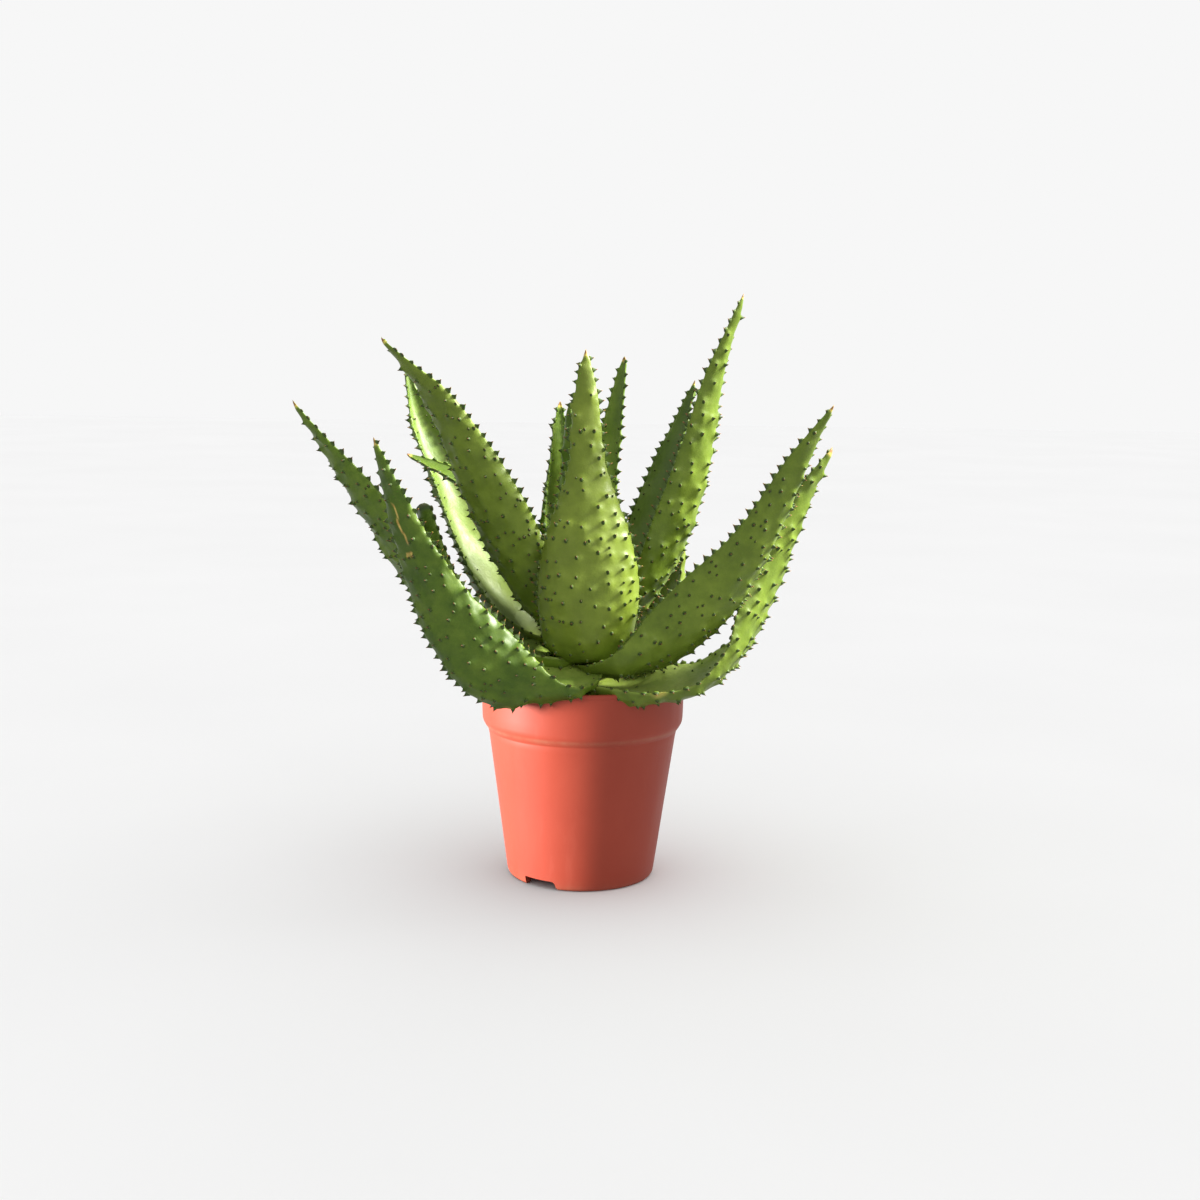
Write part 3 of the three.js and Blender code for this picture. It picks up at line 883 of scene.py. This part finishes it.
# The pot's section as (radius, height), from the axis under its floor, up the outside and down the inside.
POT = [
    # under the floor, and the ring it stands on
    (0, 5.5), (20, 5.5), (36, 5.5), (38.2, 5.3), (38.8, 4.6), (39.1, 0.8), (39.5, 0.2), (40.2, 0), (41.5, 0),
    (42.6, 0.25), (43.3, 0.9), (43.75, 1.8), (44.0, 2.9), (44.25, 4.2),
    # the wall, and the line at its top
    (44.9, 9), (50.0, 46), (55.4, 84.6), (56.05, 88.0), (56.0, 88.35), (56.15, 88.75), (56.6, 89.3),
    # the slanted shoulder and the band
    (58.2, 91.6), (59.1, 93.3), (59.5, 94.6), (59.66, 96), (59.85, 101), (59.95, 116.6), (60.0, 117.2),
    # the lip
    (60.3, 117.55), (60.45, 118.1), (60.4, 119.2), (60.1, 119.75), (59.4, 120), (58.5, 119.95),
    (58.05, 119.6), (57.95, 119),
    # the inside, down to the floor
    (57.85, 97), (57.4, 95.2), (54.6, 89.6), (54.3, 87.5), (46.5, 32), (43.4, 9.6), (42.6, 8.2), (41.2, 7.5),
    (20, 7.5), (0, 7.5),
]
POT_AROUND = 192
NOTCH_TURNS = (237, 57)
# A notch as seen from outside: (across, height).
NOTCH = [
    (-10.5, -1), (11.8, -1), (11.3, 0.6), (10.7, 1.6), (10.5, 2.6), (10.2, 3.8), (9.4, 4.7), (8.2, 5.1),
    (-10.2, 5.2), (-10.5, 4.9),
]
NOTCH_REACH = (35.0, 49.0)  # radii between which a notch is cut
HOLES = 4
HOLE_RADIUS = 4
HOLE_OUT = 24  # from the axis to a drain hole's middle
HOLE_HEIGHTS = (3.0, 10.0)
HOLE_AROUND = 32
# Dust lies inside the rim and along the foot. These are in metres.
RIM_INSIDE = 0.0586
RIM_LOW = 0.09
DUSTY_FOOT = 0.006


def cut_away(target, points, faces):
    """Takes a closed shape out of the target's own mesh."""
    tool = Build()
    tool.add(points, faces)
    knife = tool.object("knife", target.data.materials[0])
    face_outwards(knife.data)
    cut = target.modifiers.new("cut", "BOOLEAN")
    cut.operation = "DIFFERENCE"
    cut.solver = "EXACT"
    cut.object = knife
    bpy.context.view_layer.update()
    graph = bpy.context.evaluated_depsgraph_get()
    made = bpy.data.meshes.new_from_object(target.evaluated_get(graph))
    target.modifiers.clear()
    target.data = made
    bpy.data.objects.remove(knife)


def pot_piece():
    rings = len(POT) - 2
    points = [point for r, z in POT[1:-1] for point in circle(r, z, POT_AROUND)]
    points += [(0, 0, POT[0][1]), (0, 0, POT[-1][1])]
    middle = rings * POT_AROUND
    build = Build()
    build.add(points, ring_faces(rings, POT_AROUND) + fan_faces(rings, POT_AROUND, middle, middle + 1))
    pot = build.object("pot_shell", pot_material())
    for turn in NOTCH_TURNS:
        a = math.radians(turn)
        out = np.array([math.cos(a), math.sin(a), 0])
        across = np.array([-math.sin(a), math.cos(a), 0])
        points = [out * r + across * x + np.array([0, 0, z]) for r in NOTCH_REACH for x, z in NOTCH]
        cut_away(pot, points, prism_faces(len(NOTCH)))
    for k in range(HOLES):
        a = math.radians(45 + 360 / HOLES * k)
        centre = np.array([HOLE_OUT * math.cos(a), HOLE_OUT * math.sin(a), 0])
        points = [centre + point for z in HOLE_HEIGHTS for point in circle(HOLE_RADIUS, z, HOLE_AROUND)]
        cut_away(pot, points, prism_faces(HOLE_AROUND))
    smooth_by_angle(pot.data, math.radians(32))
    dust = pot.data.attributes.new("dust", "FLOAT", "POINT")
    for vertex, value in zip(pot.data.vertices, dust.data):
        r = math.hypot(vertex.co.x - AXIS[0], vertex.co.y - AXIS[1])
        inside = 1.0 if vertex.co.z > RIM_LOW and r < RIM_INSIDE else 0.0
        value.value = max(inside, 0.6 * float(smoothstep(vertex.co.z, DUSTY_FOOT, 0.0)))
    return settle(pot, "pot")


pot_piece()

# ---------------------------------------------------------------- potting mix

SOIL_RADIUS = 57.2
SOIL_TOP = 105.2
SOIL_BOTTOM = 8.1
SOIL_WALL = ((57.0, 98), (54.0, 88), (42.5, 11), (41.0, SOIL_BOTTOM))  # down inside the pot
CHIPS = 900
CHIP_OUT = 56.0  # the greatest radius of a chip's middle
CHIP_LIMIT = 56.8  # the greatest radius that a chip's end may reach
FIBRES = 260
FIBRE_STEPS = 7
FIBRE_OUT = 53  # the greatest radius where a fibre starts
FIBRE_LIMIT = 56.3


def soil_body(build, rng):
    """The filling of the pot, with an uneven top that sinks a little at the wall."""
    around = 120
    rings = 40
    points = []
    tone = []
    for i in range(1, rings + 1):
        r = SOIL_RADIUS * i / rings
        for x, y, _ in circle(r, 0, around):
            z = SOIL_TOP + 0.9 * math.sin(x * 0.33 + 1) * math.sin(y * 0.29)
            z += 0.7 * math.sin(x * 0.9 + y * 0.7)
            z += rng.uniform(-0.5, 0.5) - 1.2 * max(0, r / SOIL_RADIUS - 0.9) * 10
            points.append((x, y, z))
            tone.append(rng.uniform(0.05, 0.55))
    for r, z in SOIL_WALL:
        points += circle(r, z, around)
        tone += [0.2] * around
    rings += len(SOIL_WALL)
    centre = len(points)
    points += [(0, 0, SOIL_TOP + 0.6), (0, 0, SOIL_BOTTOM)]
    tone += [0.3, 0.2]
    faces = ring_faces(rings, around, flip=True) + fan_faces(rings, around, centre, centre + 1, flip=True)
    build.add(points, faces, tone=tone)


def bark_chip(build, rng):
    """One crumb of bark or coir pressed into the surface: four ragged sections, smaller at both ends."""
    r = CHIP_OUT * math.sqrt(rng.uniform(0.02, 1))
    a = rng.uniform(0, 2 * math.pi)
    size = np.array([rng.uniform(1.0, 3.2), rng.uniform(0.7, 1.8), rng.uniform(0.4, 1.1)])
    if r + size[0] > CHIP_LIMIT:
        return
    turn = Matrix.Rotation(rng.uniform(0, 6.3), 3, "Z")
    turn = turn @ Matrix.Rotation(rng.uniform(-0.6, 0.6), 3, "X")
    turn = turn @ Matrix.Rotation(rng.uniform(-0.5, 0.5), 3, "Y")
    centre = np.array([r * math.cos(a), r * math.sin(a), SOIL_TOP + 0.4 + rng.uniform(-0.2, 0.9)])
    corners = []
    for x in (-1, -0.3, 0.45, 1):
        shrink = 0.62 if abs(x) == 1 else 1
        for y, z in ((-1, -0.8), (1, -1), (0.8, 1), (-0.9, 0.8)):
            ragged = np.array([1, rng.uniform(0.7, 1.15), rng.uniform(0.7, 1.2)])
            corner = size * np.array([x, y * shrink, z * shrink]) * ragged
            corners.append(centre + np.array(turn @ Vector(corner)))
    faces = ring_faces(4, 4, flip=True) + [(0, 1, 2, 3), (15, 14, 13, 12)]
    build.add(corners, faces, tone=rng.uniform(0.1, 0.95))


def coir_fibre(build, rng):
    """One loose, wandering fibre with four sides. One that would run into the wall is left out."""
    r = FIBRE_OUT * math.sqrt(rng.uniform(0.03, 1))
    a = rng.uniform(0, 2 * math.pi)
    way = rng.uniform(0, 2 * math.pi)
    bend = rng.uniform(-0.12, 0.12)
    reach = rng.uniform(5, 13)
    here = np.array([r * math.cos(a), r * math.sin(a), SOIL_TOP + 1.0 + rng.uniform(0, 0.6)])
    up = np.array([0, 0, 1])
    tube = []
    thin = rng.uniform(0.14, 0.3)
    inside = True
    for i in range(FIBRE_STEPS):
        forward = np.array([math.cos(way), math.sin(way), 0.10 * math.sin(i)])
        sideways = np.array([-math.sin(way), math.cos(way), 0])
        girth = thin * (0.4 if i in (0, FIBRE_STEPS - 1) else 1)
        for k in range(4):
            b = math.pi / 2 * k
            tube.append(here + girth * (sideways * math.cos(b) + up * math.sin(b)))
        inside = inside and math.hypot(here[0], here[1]) < FIBRE_LIMIT
        here = here + forward * reach / FIBRE_STEPS
        way += bend + rng.uniform(-0.15, 0.15)
    if not inside:
        return
    ends = [(3, 2, 1, 0), tuple(range((FIBRE_STEPS - 1) * 4, FIBRE_STEPS * 4))]
    build.add(tube, ring_faces(FIBRE_STEPS, 4) + ends, tone=rng.uniform(0.55, 1.0))


def soil_piece():
    rng = random.Random(11)
    build = Build("tone")
    soil_body(build, rng)
    for _ in range(CHIPS):
        bark_chip(build, rng)
    for _ in range(FIBRES):
        coir_fibre(build, rng)
    piece = build.object("potting_mix_surface", soil_material())
    face_outwards(piece.data)
    smooth_by_angle(piece.data, math.radians(40))
    return settle(piece, "potting_mix")


soil_piece()

# ---------------------------------------------------------------- stem

STEM_LOW = 84.2
STEM_HIGH = 172
# The stem's radius at a few heights.
STEM_HEIGHTS = [84, 87, 130, 148, 163, 170, 172]
STEM_RADII = [7.5, 8.9, 8.9, 7.9, 4.0, 3.0, 0.6]


def stem_piece():
    """A short stem with the wavy scars of fallen leaves, greener towards its top."""
    rng = random.Random(5)
    around = 48
    rings = 70
    first, last = 84.5, 171.5
    points = []
    tone = []
    for i in range(rings):
        z = first + (last - first) * i / (rings - 1)
        base = np.interp(z, STEM_HEIGHTS, STEM_RADII)
        for k in range(around):
            a = 2 * math.pi * k / around
            scar = math.sin(z * 1.15 + 2 * a) + 0.5 * math.sin(z * 2.6 - 3 * a)
            r = base + min(0.35, base * 0.06) * scar + rng.uniform(-0.06, 0.06)
            points.append((r * math.cos(a), r * math.sin(a), z))
            tone.append(float(np.clip((z - 106) / 40, 0, 1) * 0.8 + 0.075 * scar + 0.1))
    centre = len(points)
    points += [(0, 0, STEM_LOW), (0, 0, STEM_HIGH)]
    tone += [0.1, 0.9]
    build = Build("tone")
    build.add(points, ring_faces(rings, around) + fan_faces(rings, around, centre, centre + 1), tone=tone)
    return settle(build.object("stem_bark", stem_material()), "stem")


stem_piece()

# ---------------------------------------------------------------- floor and light

FLOOR_HALF = 6
FLOOR_DROP = 0.0002  # keeps the floor just clear of the pot's foot
corners = [(x * FLOOR_HALF, y * FLOOR_HALF, 0) for x, y in ((-1, -1), (1, -1), (1, 1), (-1, 1))]
floor_mesh = bpy.data.meshes.new("floor")
floor_mesh.from_pydata(corners, [], [(0, 1, 2, 3)])
floor_mesh.materials.append(floor_material())
floor = bpy.data.objects.new("floor", floor_mesh)
floor.location = (0, 0, -FLOOR_DROP)
scene.collection.objects.link(floor)

world = bpy.data.worlds.new("studio")
scene.world = world
world.use_nodes = True
surround = world.node_tree.nodes["Background"]
surround.inputs["Color"].default_value = (1.0, 1.0, 1.0, 1)
surround.inputs["Strength"].default_value = 0.93
scene.view_settings.view_transform = "Standard"

# The pot, the plant and the floor each have lights of their own.
lit_pot = bpy.data.collections.new("lit_pot")
lit_plant = bpy.data.collections.new("lit_plant")
for piece in list(scene.objects):
    if piece.type == "MESH" and not piece.hide_render and piece != floor:
        (lit_pot if piece.name == "pot_shell" else lit_plant).objects.link(piece)
lit_floor = bpy.data.collections.new("lit_floor")
lit_floor.objects.link(floor)

wash = bpy.data.lights.new("floor_wash", "SUN")
wash.energy = 0.33
wash.angle = math.radians(60)
sun = bpy.data.objects.new("floor_wash", wash)
scene.collection.objects.link(sun)
sun.light_linking.receiver_collection = lit_floor

ANY_BOUNCES = 1024


def softbox(name, place, aim, power, size, colour, receivers, bounces=ANY_BOUNCES):
    """A square light at place, turned towards aim, that lights only the receivers."""
    light = bpy.data.lights.new(name, "AREA")
    light.shape = "RECTANGLE"
    light.size = size
    light.size_y = size
    light.energy = power
    light.color = colour
    made = bpy.data.objects.new(name, light)
    made.location = place
    made.rotation_euler = (aim - place).to_track_quat("-Z", "Y").to_euler()
    scene.collection.objects.link(made)
    made.light_linking.receiver_collection = receivers
    light.cycles.max_bounces = bounces


heart = Vector(AXIS) + Vector((0, 0, 0.2))
foot = Vector(AXIS) + Vector((0, 0, 0.06))
key_place = heart + Vector((1.15, 0.10, 0.85))
fill_place = heart + Vector((0.9, -1.4, 0.8))
left_place = foot + Vector((-1.30, -0.32, 0.12))
softbox("key_right", key_place, heart, 135, 0.34, (1.0, 0.98, 0.88), lit_plant)
softbox("fill_front", fill_place, heart, 15, 0.6, (1.0, 0.95, 0.80), lit_plant)
# Without bounces, so that the pot throws no red on the floor.
softbox("pot_left", left_place, foot, 80, 0.34, (1.0, 0.97, 0.95), lit_pot, 0)
